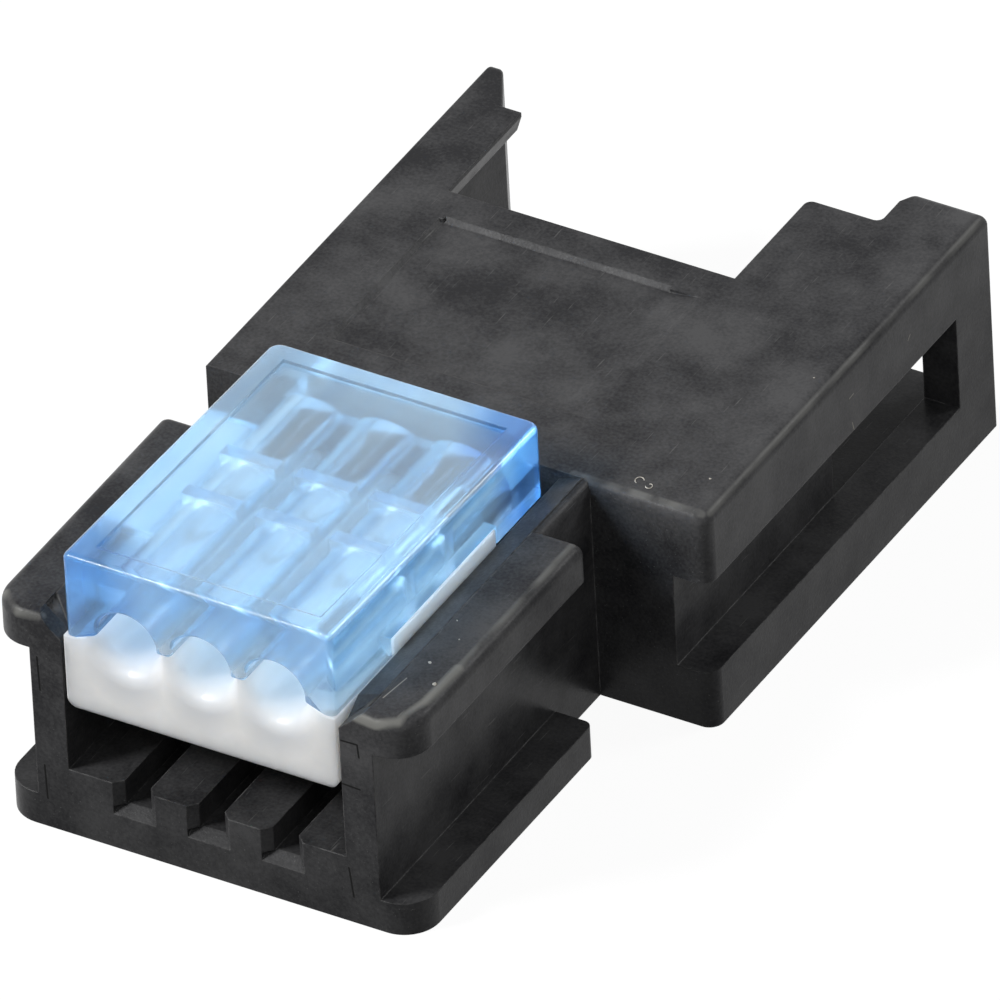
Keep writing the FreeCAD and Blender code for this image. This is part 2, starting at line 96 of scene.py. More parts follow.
def add_node(tree: bpy.types.NodeTree, kind: str, inputs: dict[Any, Any] | None = None,
             **settings: Any) -> bpy.types.Node:
    """Adds a node, sets its options, and sets or links its inputs.

    Args:
        tree: The node tree that the node goes into.
        kind: The node's type name.
        inputs: Socket names or numbers with a value, with the output socket to link, or with a
            node, whose first output in use is linked.
        **settings: The node's own options.

    Returns:
        The new node.
    """
    node = tree.nodes.new(kind)
    for name, value in settings.items():
        setattr(node, name, value)
    for socket, value in (inputs or {}).items():
        if isinstance(value, bpy.types.Node):
            value = next(output for output in value.outputs if output.enabled)
        if isinstance(value, bpy.types.NodeSocket):
            tree.links.new(value, node.inputs[socket])
        else:
            node.inputs[socket].default_value = value
    return node


def new_material(name: str) -> tuple[bpy.types.Material, bpy.types.NodeTree]:
    """Makes an empty material.

    Args:
        name: The material's name.

    Returns:
        The material and its node tree.
    """
    material = bpy.data.materials.new(name)
    material.use_nodes = True
    material.node_tree.nodes.clear()
    return material, material.node_tree


def millimetres(tree: bpy.types.NodeTree) -> bpy.types.Node:
    """The place on the object in millimetres, so that pattern sizes can be given as real ones.

    Args:
        tree: The node tree to work in.

    Returns:
        The node that gives the place.
    """
    place = add_node(tree, "ShaderNodeTexCoord").outputs["Object"]
    return add_node(tree, "ShaderNodeVectorMath", {0: place, "Scale": 1 / MM}, operation="SCALE")


def layered(tree: bpy.types.NodeTree, base: Any, *layers: tuple[Source, str]) -> bpy.types.Node:
    """Lays colours over a base one, each where its own share says.

    Args:
        tree: The node tree to work in.
        base: The colour underneath, or the node that gives it.
        *layers: The share and the hex colour of each layer, the lowest first.

    Returns:
        The node that gives the final colour.
    """
    for share, colour in layers:
        base = add_node(tree, "ShaderNodeMix", {
            SHARE: share, FIRST: base, SECOND: linear(colour)}, data_type="RGBA")
    return base


def edge_share(tree: bpy.types.NodeTree, eased: Source, reach: float) -> bpy.types.Node:
    """How near a point lies to a sharp edge.

    Args:
        tree: The node tree to work in.
        eased: The surface direction with its sharp edges eased.
        reach: The turn of the eased direction that counts as a full edge.

    Returns:
        The node that gives the share, 1 on the edge and 0 on a flat face.
    """
    flat = add_node(tree, "ShaderNodeNewGeometry").outputs["Normal"]
    along = add_node(tree, "ShaderNodeVectorMath", {0: flat, 1: eased}, operation="DOT_PRODUCT")
    return add_node(tree, "ShaderNodeMapRange", {
        "Value": along, "From Min": 1.0, "From Max": 1.0 - reach})


@dataclass(frozen=True)
class Pattern:
    """A soft random pattern whose features have a real size in millimetres.

    Detail is how many finer layers it has, and stretch how far it is squeezed along each axis.
    The bare pattern is about 0.5 in the mean. Where it is spread, its low and high limits give
    at_low and at_high, and the values beyond them are held.
    """

    feature_mm: float
    detail: float = 2.0
    low: float = 0.0
    high: float = 1.0
    at_low: float = 0.0
    at_high: float = 1.0
    stretch: Place = (1.0, 1.0, 1.0)
    layer_strength: float = 0.55

    def bare(self, tree: bpy.types.NodeTree, place: Source) -> bpy.types.Node:
        """The pattern as it is.

        Args:
            tree: The node tree to work in.
            place: The place in millimetres.

        Returns:
            The node that gives the pattern.
        """
        squeezed = add_node(tree, "ShaderNodeVectorMath", {0: place, 1: self.stretch},
                            operation="MULTIPLY")
        return add_node(tree, "ShaderNodeTexNoise", {
            "Vector": squeezed, "Scale": 1 / self.feature_mm, "Detail": self.detail,
            "Roughness": self.layer_strength})

    def spread(self, tree: bpy.types.NodeTree, place: Source) -> bpy.types.Node:
        """The pattern between its limits.

        Args:
            tree: The node tree to work in.
            place: The place in millimetres.

        Returns:
            The node that gives the spread pattern.
        """
        return add_node(tree, "ShaderNodeMapRange", {
            "Value": self.bare(tree, place), "From Min": self.low, "From Max": self.high,
            "To Min": self.at_low, "To Max": self.at_high})


@dataclass(frozen=True)
class Marks:
    """Short straight marks of one width, each given by its two ends in millimetres."""

    width_mm: float
    ends: tuple[tuple[Place, Place], ...]

    def share(self, tree: bpy.types.NodeTree, place: Source) -> bpy.types.Node:
        """How near a point lies to any of the marks.

        Args:
            tree: The node tree to work in.
            place: The place in millimetres.

        Returns:
            The node that gives 1 on a mark and 0 away from all of them.
        """
        share = None
        for start, end in self.ends:
            run = Vector(end) - Vector(start)
            offset = add_node(tree, "ShaderNodeVectorMath", {0: place, 1: start},
                              operation="SUBTRACT")
            along = add_node(tree, "ShaderNodeVectorMath", {
                0: offset, 1: run / run.length_squared}, operation="DOT_PRODUCT")
            held = add_node(tree, "ShaderNodeMapRange", {"Value": along})
            nearest = add_node(tree, "ShaderNodeVectorMath", {0: run, "Scale": held},
                               operation="SCALE")
            gap = add_node(tree, "ShaderNodeVectorMath", {0: offset, 1: nearest},
                           operation="DISTANCE")
            near = add_node(tree, "ShaderNodeMapRange", {
                "Value": gap, "From Min": self.width_mm / 4, "From Max": self.width_mm / 2,
                "To Min": 1.0, "To Max": 0.0})
            share = near if share is None else add_node(
                tree, "ShaderNodeMath", {0: share, 1: near}, operation="MAXIMUM")
        return share


@dataclass(frozen=True)
class BlackPolyester:
    """Black glass-filled polyester, injection moulded in a finely eroded steel tool.

    The eye sees a dark grey-black with a dull sheen and a fine grain, which is drawn a little
    coarser than the real one so that it shows. Cloudy flow patches lie in it, and painted shade
    darkens it towards its foot. Handling has left pale worn sharp edges, which also carry
    painted highlight, light scuffs and a few nicks. Uneven grey painted highlights lie along the
    rounded top edges, and brighter ones on the flange fronts. Dark hairlines on the wire end are
    where the mould's halves met.
    """

    body: str = "#2b2b2d"
    cloud: str = "#4f4f50"
    # Painted highlight colour along the rounded top edges of the flange and the roof.
    rim: str = "#6b6b69"
    # Painted highlight colour on the rounded fronts of the flanges.
    lip_highlight: str = "#7f7f7b"
    # Pale colour of worn sharp edges and scuffs, partly painted edge highlight.
    worn_and_lit_edges: str = "#7b7b7a"
    seam: str = "#0c0c0c"
    nick: str = "#8e8a82"
    ior: float = 1.57
    specular: float = 0.06
    edge_mm: float = 0.05
    edge_reach: float = 0.25
    # Painted shade: the colour darkens from the top height down to the foot height.
    foot_mm: float = 0.4
    top_mm: float = 6.0
    foot_shade_share: float = 0.62
    speckle_share: float = 0.4
    cloud_span: Span = (0.52, 0.88)
    # Strength of the painted highlight on the flange fronts.
    lip_highlight_share: float = 0.8
    grain_strength: float = 0.5
    grain_depth_mm: float = 0.008
    clouds: Pattern = Pattern(1.8, 7.0)
    speckle: Pattern = Pattern(0.09)
    highlight_patches: Pattern = Pattern(0.5, 1.0, 0.35, 0.62, 0.2, 0.9, stretch=(1.0, 0.4, 1.0))
    edge_patches: Pattern = Pattern(0.35, 3.0, 0.4, 0.6, at_high=0.6)
    scuffs: Pattern = Pattern(0.05, 1.0, 0.70, 0.80, at_high=0.35, stretch=(1.0, 0.05, 1.0))
    roughness: Pattern = Pattern(0.7, 4.0, 0.35, 0.65, 0.28, 0.38)
    grain: Pattern = Pattern(0.06)
    # Painted highlights: lines along the rounded top edges.
    edge_highlights: Marks = Marks(0.24, (
        ((4.46, -9.20, 6.13), (4.46, -3.90, 6.14)), ((3.10, -1.44, 6.15), (6.55, -1.44, 6.15)),
        ((6.70, -1.30, 6.13), (6.70, 11.80, 6.13))))
    # Painted highlights on the rounded fronts of the flanges.
    lip_highlights: Marks = Marks(0.32, (
        ((2.95, -11.72, 6.08), (3.70, -11.80, 6.02)), ((3.70, -11.80, 6.02), (4.20, -11.55, 6.08)),
        ((4.20, -11.55, 6.08), (4.42, -10.70, 6.12)), ((4.42, -10.70, 6.12), (4.46, -9.20, 6.13)),
        ((-6.45, -11.30, 6.05), (-5.90, -11.70, 6.00)),
        ((-5.90, -11.70, 6.00), (-5.35, -11.66, 6.00))))
    seams: Marks = Marks(0.07, (
        ((-5.42, -11.82, 4.93), (-5.39, -11.82, 3.98)),
        ((-5.39, -11.82, 1.79), (-5.36, -11.82, 0.83)),
        ((2.78, -11.82, 5.28), (3.22, -11.82, 5.29)), ((3.22, -11.82, 5.29), (3.25, -11.82, 4.93)),
        ((2.72, -11.82, 4.02), (3.23, -11.82, 3.99)), ((2.81, -11.82, 1.57), (2.90, -11.82, 0.75))))
    nicks: Marks = Marks(0.04, (
        ((3.49, -11.0, 6.2), (3.60, -10.1, 6.2)), ((6.75, 5.10, 5.21), (6.75, 5.30, 5.23)),
        ((6.75, 5.18, 4.46), (6.75, 5.28, 4.10)), ((6.75, 5.28, 4.10), (6.75, 5.40, 3.84)),
        ((6.75, 7.88, 5.06), (6.75, 7.99, 5.17)), ((5.35, -1.47, 4.98), (5.53, -1.47, 4.86)),
        ((5.53, -1.47, 4.86), (5.39, -1.47, 4.61)), ((5.39, -1.47, 4.61), (5.20, -1.47, 4.66))))

    def moulded(self, tree: bpy.types.NodeTree, place: Source) -> bpy.types.Node:
        """The plastic's colour: cloudy, with painted shade that darkens it towards its foot.

        Args:
            tree: The node tree to work in.
            place: The place in millimetres.

        Returns:
            The node that gives the colour.
        """
        mottled = add_node(tree, "ShaderNodeMath", {
            0: self.speckle.bare(tree, place), 1: self.speckle_share,
            2: self.clouds.bare(tree, place)}, operation="MULTIPLY_ADD")
        patches = add_node(tree, "ShaderNodeMapRange", {
            "Value": mottled, "From Min": self.cloud_span[0], "From Max": self.cloud_span[1]})
        dusty = layered(tree, linear(self.body), (patches, self.cloud))
        # Painted shade: the colour is scaled darker towards the foot.
        height = add_node(tree, "ShaderNodeSeparateXYZ", {0: place}).outputs["Z"]
        painted_foot_shade = add_node(tree, "ShaderNodeMapRange", {
            "Value": height, "From Min": self.foot_mm, "From Max": self.top_mm,
            "To Min": self.foot_shade_share})
        return add_node(tree, "ShaderNodeVectorMath", {0: dusty, "Scale": painted_foot_shade},
                        operation="SCALE")

    def wear(self, tree: bpy.types.NodeTree, place: Source,
             eased: Source) -> tuple[bpy.types.Node, bpy.types.Node, bpy.types.Node]:
        """How far painted highlights and handling mark a point.

        Args:
            tree: The node tree to work in.
            place: The place in millimetres.
            eased: The surface direction with its sharp edges eased.

        Returns:
            The nodes that give the shares of the painted highlights along the rounded edges, of the
            painted highlights on the flange fronts, and of the pale sharp edges, partly wear and
            partly painted highlight, with the scuffs.
        """
        # Painted highlights along the rounded edges, broken into patches.
        edge_highlights = add_node(tree, "ShaderNodeMath", {
            0: self.edge_highlights.share(tree, place), 1: self.highlight_patches.spread(tree, place)},
            operation="MULTIPLY")
        # Painted highlights on the flange fronts.
        lip_highlights = add_node(tree, "ShaderNodeMapRange", {
            "Value": self.lip_highlights.share(tree, place), "To Max": self.lip_highlight_share})
        # Pale sharp edges: wear, partly painted highlight.
        edges = add_node(tree, "ShaderNodeMath", {
            0: edge_share(tree, eased, self.edge_reach),
            1: self.edge_patches.spread(tree, place)}, operation="MULTIPLY")
        worn_and_lit_edges = add_node(tree, "ShaderNodeMath", {
            0: edges, 1: self.scuffs.spread(tree, place)}, operation="MAXIMUM")
        return edge_highlights, lip_highlights, worn_and_lit_edges

    def build(self) -> bpy.types.Material:
        """Builds the material.

        Returns:
            The finished material.
        """
        material, tree = new_material("black_moulded_polyester")
        place = millimetres(tree)
        eased = add_node(tree, "ShaderNodeBevel", {"Radius": self.edge_mm * MM}, samples=4)
        edge_highlights, lip_highlights, worn_and_lit_edges = self.wear(tree, place, eased)
        seams = self.seams.share(tree, place)
        # Layers: painted highlights on the rounded edges and flange fronts, pale edges that are
        # partly painted highlight, seams and nicks.
        colour = layered(tree, self.moulded(tree, place), (edge_highlights, self.rim), (lip_highlights, self.lip_highlight),
                         (worn_and_lit_edges, self.worn_and_lit_edges), (seams, self.seam),
                         (self.nicks.share(tree, place), self.nick))
        sunk = add_node(tree, "ShaderNodeMath", {0: self.grain.bare(tree, place), 1: seams},
                        operation="SUBTRACT")
        bumped = add_node(tree, "ShaderNodeBump", {
            "Height": sunk, "Strength": self.grain_strength,
            "Distance": self.grain_depth_mm * MM, "Normal": eased})
        surface = add_node(tree, "ShaderNodeBsdfPrincipled", {
            "Base Color": colour, "Roughness": self.roughness.spread(tree, place),
            "IOR": self.ior, "Specular IOR Level": self.specular, "Normal": bumped})
        add_node(tree, "ShaderNodeOutputMaterial", {"Surface": surface})
        return material


@dataclass(frozen=True)
class TintedPolycarbonate:
    """Light-blue polycarbonate, injection moulded: clear, but a little hazy inside.

    The eye sees a pale blue that deepens where the plastic is thick, a deeper blue painted at two
    of its corners as painted shade, soft streaks along the wires where the holes lie under the top,
    and bright lines on its edges.
    Lamp light falls through it onto the white guide almost untinted.
    """

    tint: str = "#e2f1fc"
    streak: str = "#d2e6f7"
    # Painted shade: the deeper blue at two corners.
    deep: str = "#6ca6e0"
    passing: str = "#e9f2fb"
    passing_share: float = 0.78
    depth_tint: Colour = (0.02, 0.62, 0.88, 1.0)
    depth_density: float = 250.0
    clear_share: float = 0.80
    ior: float = 1.46
    skin: float = 0.4
    skin_roughness: float = 0.1
    skin_ior: float = 1.5
    wave_strength: float = 0.15
    wave_depth_mm: float = 0.03
    flow: Pattern = Pattern(0.9, 3.0, 0.42, 0.6, stretch=(1.0, 0.2, 1.0))
    waves: Pattern = Pattern(1.4, 0.0)
    roughness: Pattern = Pattern(0.5, 3.0, 0.4, 0.65, 0.18, 0.27)
    # Painted shade at two corners of the cover.
    shaded_corners: Marks = Marks(4.4, (
        ((-4.6, -11.7, 6.3), (-4.6, -11.7, 7.7)), ((2.6, -2.0, 6.4), (2.6, -2.0, 8.1))))

    def build(self) -> bpy.types.Material:
        """Builds the material.

        Returns:
            The finished material.
        """
        material, tree = new_material("blue_hazy_polycarbonate")
        place = millimetres(tree)
        colour = layered(tree, linear(self.tint), (self.flow.spread(tree, place), self.streak),
                         (self.shaded_corners.share(tree, place), self.deep))
        bumped = add_node(tree, "ShaderNodeBump", {
            "Height": self.waves.bare(tree, place), "Strength": self.wave_strength,
            "Distance": self.wave_depth_mm * MM})
        surface = add_node(tree, "ShaderNodeBsdfPrincipled", {
            "Base Color": colour, "Roughness": self.roughness.spread(tree, place),
            "IOR": self.ior, "Transmission Weight": self.clear_share, "Normal": bumped,
            "Coat Weight": self.skin, "Coat Roughness": self.skin_roughness,
            "Coat IOR": self.skin_ior, "Coat Normal": bumped})
        # Lamp light passes the surface and the depth of the plastic by the same share.
        lamp_light = add_node(tree, "ShaderNodeLightPath").outputs["Is Shadow Ray"]
        through = add_node(tree, "ShaderNodeMath", {0: lamp_light, 1: self.passing_share},
                           operation="MULTIPLY")
        passing = add_node(tree, "ShaderNodeBsdfTransparent", {"Color": linear(self.passing)})
        depth = add_node(tree, "ShaderNodeVolumeAbsorption", {
            "Color": self.depth_tint, "Density": self.depth_density})
        add_node(tree, "ShaderNodeOutputMaterial", {
            "Surface": add_node(tree, "ShaderNodeMixShader", {0: through, 1: surface, 2: passing}),
            "Volume": add_node(tree, "ShaderNodeMixShader", {0: through, 1: depth})})
        return material


@dataclass(frozen=True)
class WhiteNylon:
    """Natural white nylon, injection moulded.

    The eye sees a milky white with soft edges, because light enters it a little way and scatters,
    a satin surface, and a touch of painted shade in the bottoms of the wire troughs.
    """

    body: str = "#f8f7f5"
    shade: str = "#eeeeed"
    # Painted shade colour for the bottoms of the wire troughs.
    trough_shade: str = "#dddfe1"
    ior: float = 1.53
    milkiness: float = 1.0
    depth_mm: float = 1.0
    depth_shares: Place = (1.0, 0.95, 0.9)
    edge_mm: float = 0.06
    grain_strength: float = 0.1
    grain_depth_mm: float = 0.006
    clouds: Pattern = Pattern(1.2, 3.0, 0.35, 0.65)
    roughness: Pattern = Pattern(0.4, 3.0, 0.35, 0.65, 0.32, 0.45)
    grain: Pattern = Pattern(0.08)
    # Where the painted shade lies: along the bottoms of the wire troughs.
    troughs: Marks = Marks(2.3, tuple(
        ((x, -11.9, 5.3), (x, -9.9, 5.3)) for x in (-3.0, -1.0, 1.0)))

    def build(self) -> bpy.types.Material:
        """Builds the material.

        Returns:
            The finished material.
        """
        material, tree = new_material("white_moulded_nylon")
        place = millimetres(tree)
        # Painted shade greys the bottoms of the wire troughs.
        colour = layered(tree, linear(self.body), (self.clouds.spread(tree, place), self.shade),
                         (self.troughs.share(tree, place), self.trough_shade))
        eased = add_node(tree, "ShaderNodeBevel", {"Radius": self.edge_mm * MM}, samples=4)
        bumped = add_node(tree, "ShaderNodeBump", {
            "Height": self.grain.bare(tree, place), "Strength": self.grain_strength,
            "Distance": self.grain_depth_mm * MM, "Normal": eased})
        surface = add_node(tree, "ShaderNodeBsdfPrincipled", {
            "Base Color": colour, "Roughness": self.roughness.spread(tree, place),
            "IOR": self.ior, "Normal": bumped, "Subsurface Weight": self.milkiness,
            "Subsurface Scale": self.depth_mm * MM, "Subsurface Radius": self.depth_shares})
        add_node(tree, "ShaderNodeOutputMaterial", {"Surface": surface})
        return material


@dataclass(frozen=True)
class TinnedBronze:
    """Phosphor bronze strip, stamped and tin plated.

    The eye sees a pale warm grey metal with fine rolling lines and slightly darker patches.
    """

    metal: str = "#c9c2b4"
    patch: str = "#a89a82"
    line_strength: float = 0.15
    line_depth_mm: float = 0.004
    patches: Pattern = Pattern(0.5, 3.0, 0.45, 0.7)
    lines: Pattern = Pattern(0.03, 1.0, 0.3, 0.7, 0.22, 0.38, stretch=(1.0, 0.08, 1.0))

    def build(self) -> bpy.types.Material:
        """Builds the material, with its roughness and relief from the rolling lines.

        Returns:
            The finished material.
        """
        material, tree = new_material("tinned_stamped_bronze")
        place = millimetres(tree)
        colour = layered(tree, linear(self.metal), (self.patches.spread(tree, place), self.patch))
        bumped = add_node(tree, "ShaderNodeBump", {
            "Height": self.lines.bare(tree, place), "Strength": self.line_strength,
            "Distance": self.line_depth_mm * MM})
        surface = add_node(tree, "ShaderNodeBsdfPrincipled", {
            "Base Color": colour, "Metallic": 1.0, "Roughness": self.lines.spread(tree, place),
            "Normal": bumped})
        add_node(tree, "ShaderNodeOutputMaterial", {"Surface": surface})
        return material


@dataclass(frozen=True)
class PaleLint:
    """Cotton lint and plastic dust that has settled on the housing.

    The eye sees tiny matt off-white threads and crumbs, a little uneven in tone.
    """

    pale: str = "#dcd8cf"
    dark: str = "#a9a49a"
    roughness: float = 0.85
    ior: float = 1.5
    specular: float = 0.2
    tone: Pattern = Pattern(0.08, 2.0, 0.35, 0.65)

    def build(self) -> bpy.types.Material:
        """Builds the material.

        Returns:
            The finished material.
        """
        material, tree = new_material("pale_cotton_lint")
        tone = self.tone.spread(tree, millimetres(tree))
        surface = add_node(tree, "ShaderNodeBsdfPrincipled", {
            "Base Color": layered(tree, linear(self.pale), (tone, self.dark)),
            "Roughness": self.roughness, "IOR": self.ior, "Specular IOR Level": self.specular})
        add_node(tree, "ShaderNodeOutputMaterial", {"Surface": surface})
        return material


def dress(node: str, material: bpy.types.Material) -> None:
    """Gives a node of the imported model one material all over.

    Args:
        node: The node's name.
        material: The material.
    """
    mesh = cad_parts[node].data
    mesh.materials.clear()
    mesh.materials.append(material)
    log.info("%s dressed in %s", node, material.name)


def new_object(name: str, mesh: bmesh.types.BMesh,
               material: bpy.types.Material) -> bpy.types.Object:
    """Turns finished mesh data into an object of the scene.

    Args:
        name: The object's name.
        mesh: The mesh data, which is used up.
        material: The object's material.

    Returns:
        The new object.
    """
    data = bpy.data.meshes.new(name)
    mesh.to_mesh(data)
    mesh.free()
    data.materials.append(material)
    made = bpy.data.objects.new(name, data)
    bpy.context.scene.collection.objects.link(made)
    return made


def new_piece(name: str, mesh: bmesh.types.BMesh, material: bpy.types.Material, body: Body) -> None:
    """Turns finished mesh data into a piece that rides on a body.

    Args:
        name: The piece's name.
        mesh: The mesh data, which is used up.
        material: The piece's material.
        body: The body that it rides on.
    """
    bmesh.ops.recalc_face_normals(mesh, faces=mesh.faces)
    piece = new_object(name, mesh, material)
    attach(piece, body.value)
    log.info("%s built: %d faces", name, len(piece.data.polygons))


def skin_rings(mesh: bmesh.types.BMesh, rings: list[list[bmesh.types.BMVert]]) -> None:
    """Joins rings of points into one closed form with a face at each end.

    Args:
        mesh: The mesh that the rings are in.
        rings: The rings in order, all with the same number of points.
    """
    count = len(rings[0])
    for near, far in zip(rings, rings[1:]):
        for side in range(count):
            following = (side + 1) % count
            mesh.faces.new((near[side], near[following], far[following], far[side]))
    mesh.faces.new(rings[0])
    mesh.faces.new(rings[-1])


@dataclass
class LeadIns:
    """The shallow sloped facings along the top of the wire channel's two side walls.

    All sizes are in millimetres. The walls' own slopes are as deep as depth. The facings start as
    thin as tip behind the wire end, and thicken over blend until the slope left open is only as
    deep as shallow.
    """

    width: float = 0.66
    depth: float = 0.57
    shallow: float = 0.24
    front: float = 0.45
    blend: float = 0.5
    tip: float = 0.004
    side_gap: float = 0.12
    past_cover: float = 0.41

    def build(self, plastic: bpy.types.Material) -> None:
        """Builds both facings as closed wedges that ease in behind the wire end.

        Args:
            plastic: The housing's material.
        """
        low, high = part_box("housing")
        cover_low, cover_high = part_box("cover")
        top = high[2] / MM
        rear = cover_high[1] / MM + self.past_cover
        start = low[1] / MM + self.front
        sections = ((start, self.depth - self.tip), (start + self.blend, self.shallow),
                    ((start + rear) / 2, self.shallow), (rear, self.shallow))
        mesh = bmesh.new()
        for wall, side in ((cover_low[0] / MM - self.side_gap, -1),
                           (cover_high[0] / MM + self.side_gap, 1)):
            rings = []
            for along, drop in sections:
                corners = ((wall, top - self.depth), (wall, top - drop),
                           (wall + side * self.width, top))
                rings.append([mesh.verts.new(Vector((x, along, z)) * MM) for x, z in corners])
            skin_rings(mesh, rings)
        new_piece("channel_lead_ins", mesh, plastic, Body.HOUSING)


@dataclass
class Housing:
    """The black moulded housing."""

    node: str = "housing"

    def build(self) -> None:
        """Dresses the housing and adds the facings along its wire channel."""
        plastic = BlackPolyester().build()
        dress(self.node, plastic)
        LeadIns().build(plastic)


@dataclass
class RaisedCover:
    """The clear blue cover and the white wire guide under it."""

    cover: str = "cover"
    guide: str = "wire_guide"

    def build(self) -> None:
        """Dresses both mouldings."""
        dress(self.cover, TintedPolycarbonate().build())
        dress(self.guide, WhiteNylon().build())


@dataclass
class Contacts:
    """The stamped contacts, one for each wire."""

    prefix: str = "contact_"

    def build(self) -> None:
        """Dresses every contact."""
        metal = TinnedBronze().build()
        for node in sorted(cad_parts):
            if node.startswith(self.prefix):
                dress(node, metal)


@dataclass
class SettledDust:
    """The lint threads and crumbs that lie on the housing's top.

    All sizes are in millimetres and all angles in degrees. A curl is its middle, its radius, the
    angle of its first point and how far it winds. A crumb is its middle and its width.
    """

    curls: tuple[tuple[float, ...], ...] = (
        (4.62, -1.02, 0.12, 20, 250), (4.95, -1.12, 0.09, 200, 290))
    crumbs: tuple[tuple[float, ...], ...] = (
        (3.79, -9.35, 0.10), (4.30, -10.02, 0.13), (3.54, -7.66, 0.06),
        (3.95, -8.27, 0.05), (6.08, -0.23, 0.07), (6.30, 4.30, 0.05))
    lift: float = 0.008
    thread_radius: float = 0.012
    tip_share: float = 0.45
    narrowing: float = 0.35
    steps: int = 14
    sides: int = 6
    slant: Place = (0.13, 0.21, 1.0)
    flattening: tuple[Span, Span, Span] = ((0.7, 1.2), (0.5, 1.0), (0.4, 0.6))
    dents: Span = (0.75, 1.1)
    seed: int = 11

    def crumb(self, mesh: bmesh.types.BMesh, place: Place, width: float,
              rng: random.Random) -> None:
        """Adds one crumb: a closed, dented lump.

        Args:
            mesh: The mesh that it goes into.
            place: Its middle.
            width: Its width.
            rng: Where its dents come from.
        """
        made = bmesh.ops.create_icosphere(mesh, subdivisions=2, radius=width / 2 * MM)
        flat = [rng.uniform(*span) for span in self.flattening]
        for vertex in made["verts"]:
            vertex.co = Vector(a * b for a, b in zip(vertex.co, flat)) * rng.uniform(*self.dents)
            vertex.co += Vector(place) * MM

    def curl(self, place: Place, radius: float, start: float, turn: float) -> list[Place]:
        """The points of a curled thread that lies flat.

        Args:
            place: The middle of the curl.
            radius: Its radius.
            start: The angle of its first point.
            turn: How far it winds.

        Returns:
            The points along it.
        """
        angles = [math.radians(start + turn * step / self.steps) for step in range(self.steps + 1)]
        return [(place[0] + radius * (1 - self.narrowing * step / self.steps) * math.cos(angle),
                 place[1] + radius * math.sin(angle), place[2])
                for step, angle in enumerate(angles)]

    def thread(self, mesh: bmesh.types.BMesh, points: list[Place]) -> None:
        """Adds a closed round thread that follows points, thinner at both ends.

        Args:
            mesh: The mesh that it goes into.
            points: The places that it passes.
        """
        line = [Vector(point) * MM for point in points]
        last = len(line) - 1
        rings = []
        for number, centre in enumerate(line):
            ahead = line[min(number + 1, last)] - line[max(number - 1, 0)]
            across = ahead.cross(Vector(self.slant)).normalized()
            above = across.cross(ahead).normalized()
            radius = self.thread_radius * MM * (self.tip_share if number in (0, last) else 1.0)
            turns = (math.tau * side / self.sides for side in range(self.sides))
            rings.append([
                mesh.verts.new(centre + radius * (across * math.cos(turn) + above * math.sin(turn)))
                for turn in turns])
        skin_rings(mesh, rings)

    def build(self) -> None:
        """Builds all threads and crumbs as one piece."""
        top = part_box("housing")[1][2] / MM + self.lift
        mesh = bmesh.new()
        rng = random.Random(self.seed)
        for x, y, radius, start, turn in self.curls:
            self.thread(mesh, self.curl((x, y, top), radius, start, turn))
        for x, y, width in self.crumbs:
            self.crumb(mesh, (x, y, top), width, rng)
        new_piece("settled_dust", mesh, PaleLint().build(), Body.HOUSING)


@dataclass(frozen=True)
class Lamp:
    """A square soft lamp: where it hangs and how wide it is in metres, and its power in watts."""

    name: str
    place: Place
    width: float
    watts: float


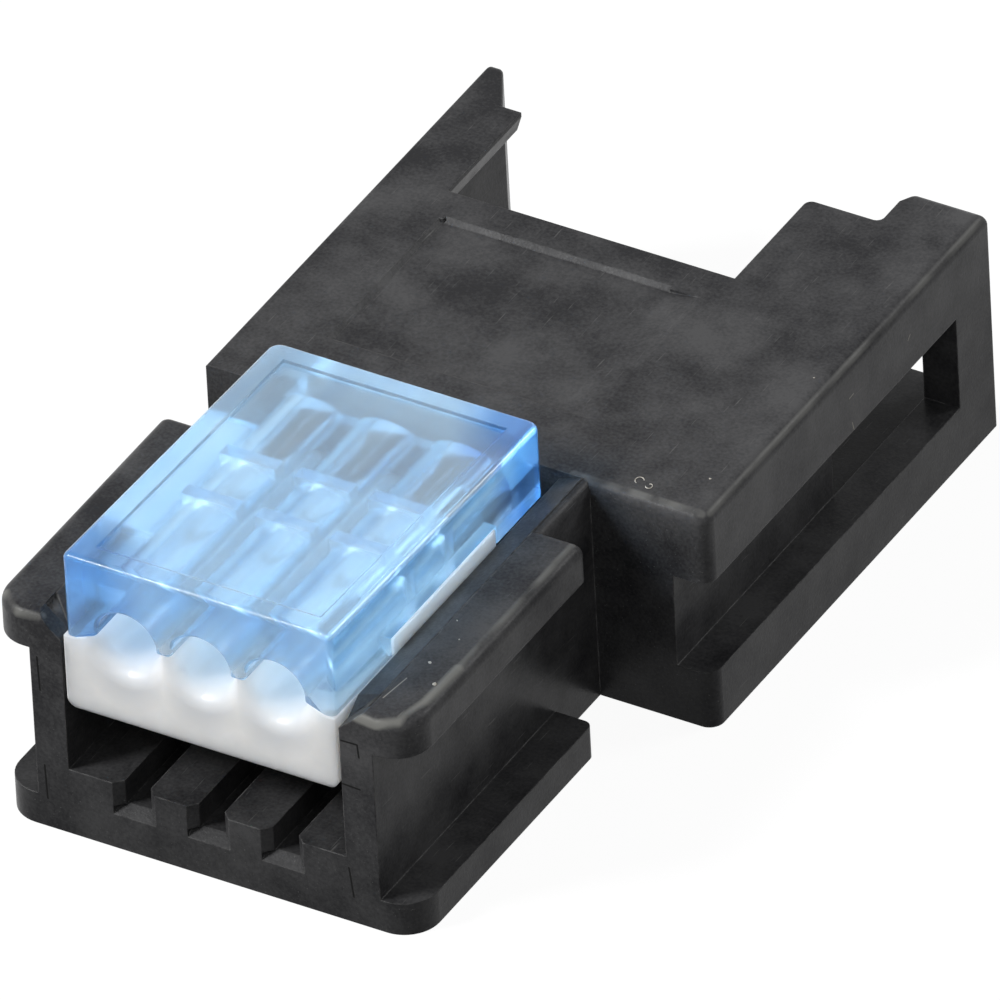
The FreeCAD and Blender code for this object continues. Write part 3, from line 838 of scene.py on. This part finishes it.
@dataclass
class Studio:
    """A white floor, soft light from above and a long lens."""

    azimuth: float = math.radians(31.82)
    elevation: float = math.radians(36.66)
    roll: float = math.radians(-3.14)
    distance: float = 0.983
    lens: float = 1510.4
    sensor: float = 36
    clip: Span = (0.01, 20)
    aim: Vector = Vector((0.000242, -0.000159, 0.003589))
    lamps: tuple[Lamp, ...] = (
        Lamp("key", (-0.39, -0.38, 0.44), 0.18, 4.5), Lamp("fill", (0.30, -0.36, 0.46), 0.40, 0.8),
        Lamp("rim", (0.36, 0.42, 0.34), 0.18, 1.1))
    world_light: float = 0.16
    world_seen: float = 1.0
    floor_colour: str = "#606060"
    floor_seen: float = 0.93
    floor_half: float = 2.0
    floor_drop: float = 0.00002

    def view_direction(self) -> Vector:
        """The direction from the camera to the object."""
        level = math.cos(self.elevation)
        return Vector((-math.sin(self.azimuth) * level, math.cos(self.azimuth) * level,
                       -math.sin(self.elevation)))

    def camera(self) -> None:
        """Places the camera at the photograph's angle."""
        forward = self.view_direction()
        side = forward.cross(Vector((0, 0, 1))).normalized()
        above = side.cross(forward)
        right = side * math.cos(self.roll) + above * math.sin(self.roll)
        upward = above * math.cos(self.roll) - side * math.sin(self.roll)
        data = bpy.data.cameras.new("camera")
        data.lens = self.lens
        data.sensor_width = self.sensor
        data.clip_start, data.clip_end = self.clip
        camera = bpy.data.objects.new("camera", data)
        turn = Matrix((right, upward, -forward)).transposed().to_4x4()
        camera.matrix_world = Matrix.Translation(self.aim - forward * self.distance) @ turn
        bpy.context.scene.collection.objects.link(camera)
        bpy.context.scene.camera = camera

    def hang(self, lamp: Lamp) -> None:
        """Adds a lamp and aims it at the object.

        Args:
            lamp: The lamp.
        """
        data = bpy.data.lights.new(lamp.name, "AREA")
        data.size = lamp.width
        data.energy = lamp.watts
        light = bpy.data.objects.new(lamp.name, data)
        light.location = lamp.place
        light.rotation_euler = (self.aim - light.location).to_track_quat("-Z", "Y").to_euler()
        bpy.context.scene.collection.objects.link(light)

    @staticmethod
    def seen_share(tree: bpy.types.NodeTree) -> Source:
        """The share of a ray that comes from the camera, a reflection or clear plastic.

        Args:
            tree: The node tree to work in.

        Returns:
            The node that gives 1 for such a ray and 0 for any other.
        """
        path = add_node(tree, "ShaderNodeLightPath")
        share = path.outputs["Is Camera Ray"]
        for kind in ("Is Glossy Ray", "Is Transmission Ray"):
            share = add_node(tree, "ShaderNodeMath", {0: share, 1: path.outputs[kind]},
                             operation="MAXIMUM")
        return share

    def world(self) -> None:
        """Surrounds the object with even light that shows as white."""
        world = bpy.data.worlds.new("studio")
        world.use_nodes = True
        bpy.context.scene.world = world
        tree = world.node_tree
        tree.nodes.clear()
        light, seen = [add_node(tree, "ShaderNodeBackground", {"Color": WHITE, "Strength": level})
                       for level in (self.world_light, self.world_seen)]
        mixed = add_node(tree, "ShaderNodeMixShader", {0: self.seen_share(tree), 1: light, 2: seen})
        add_node(tree, "ShaderNodeOutputWorld", {"Surface": mixed})

    def floor(self) -> None:
        """Lays a floor that shows as white and keeps a soft shadow."""
        mesh = bmesh.new()
        bmesh.ops.create_grid(mesh, x_segments=1, y_segments=1, size=self.floor_half)
        material, tree = new_material("white_paper")
        matt = add_node(tree, "ShaderNodeBsdfDiffuse", {"Color": linear(self.floor_colour)})
        dark = add_node(tree, "ShaderNodeEmission", {"Color": BLACK, "Strength": 0.0})
        seen = add_node(tree, "ShaderNodeEmission", {"Color": WHITE, "Strength": self.floor_seen})
        lift = add_node(tree, "ShaderNodeMixShader", {0: self.seen_share(tree), 1: dark, 2: seen})
        both = add_node(tree, "ShaderNodeAddShader", {0: matt, 1: lift})
        add_node(tree, "ShaderNodeOutputMaterial", {"Surface": both})
        floor = new_object("floor", mesh, material)
        floor.location.z = -self.floor_drop

    def build(self) -> None:
        """Sets up the camera, light and floor."""
        self.camera()
        self.world()
        self.floor()
        for lamp in self.lamps:
            self.hang(lamp)
        bpy.context.scene.view_settings.view_transform = "Standard"
        log.info("studio set up")


def main() -> None:
    """Builds the pieces and the studio in order."""
    logging.basicConfig(level=logging.INFO, format="%(message)s")
    for part in (Housing(), RaisedCover(), Contacts(), SettledDust(), Studio()):
        part.build()


if __name__ == "__main__":
    main()
